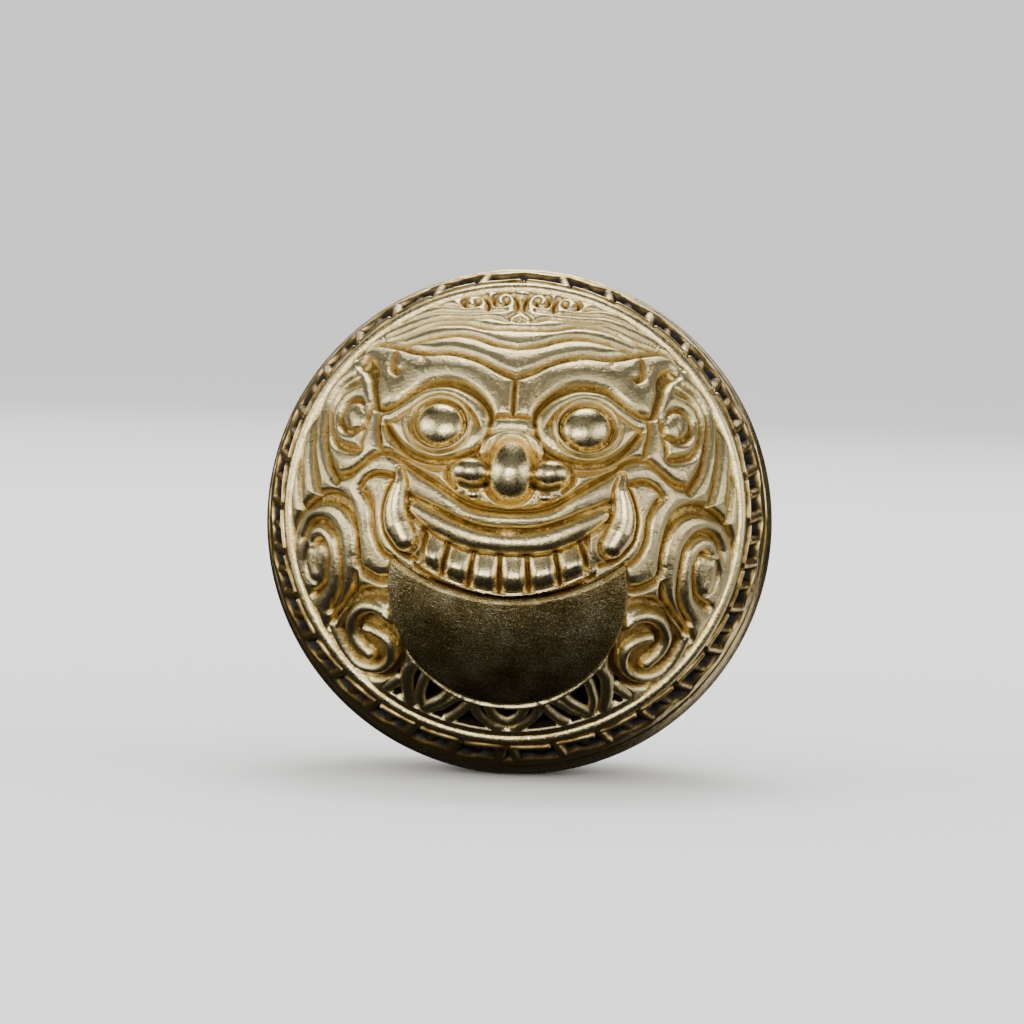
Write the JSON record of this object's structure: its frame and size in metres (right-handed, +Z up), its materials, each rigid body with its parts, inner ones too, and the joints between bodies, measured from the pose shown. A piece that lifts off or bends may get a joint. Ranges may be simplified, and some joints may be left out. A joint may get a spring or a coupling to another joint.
{
  "type": "weighted round folk-mask figure",
  "caption": "Weighted cast-metal ball that stands face forward, its front carved as a traditional goblin mask inside a fret border.",
  "frame": {"origin": "centre of the flat that the ball stands on", "axes": "+Z up, -Y the way the mask faces, +X towards the viewer's right when looking at the mask"},
  "size_m": [0.03, 0.0299, 0.0299],
  "materials": {
    "carved_brass": "cast and antiqued",
    "blasted_brass": "sandblasted",
    "fret_brass": "cast, black in the recesses",
    "polished_brass": "polished",
    "ballast_steel": "turned",
    "bright_steel": "satin"
  },
  "bodies": {
    "figure": {"face_shell": "carved_brass", "tongue_plate": "blasted_brass", "border_ring": "fret_brass", "rear_shell": "polished_brass", "ballast_drum": "ballast_steel", "locating_pins": "bright_steel"},
    "washer": {"washer": "bright_steel"},
    "tie_screw": {"tie_screw": "bright_steel"}
  },
  "joints": [
    {"name": "washer_slide", "type": "slide", "parent": "figure", "child": "washer", "axis": [0, 0.9925, -0.1219], "range_m": [0, 0.006]},
    {"name": "screw_turn", "type": "hinge", "parent": "washer", "child": "tie_screw", "pos_m": [0, 0, 0.01487], "axis": [0, 0.9925, -0.1219], "range_deg": [0, 4320]}
  ],
  "couplings": [
    {"joint": "screw_turn", "follows": "washer_slide", "rad_per_m": 12566}
  ]
}
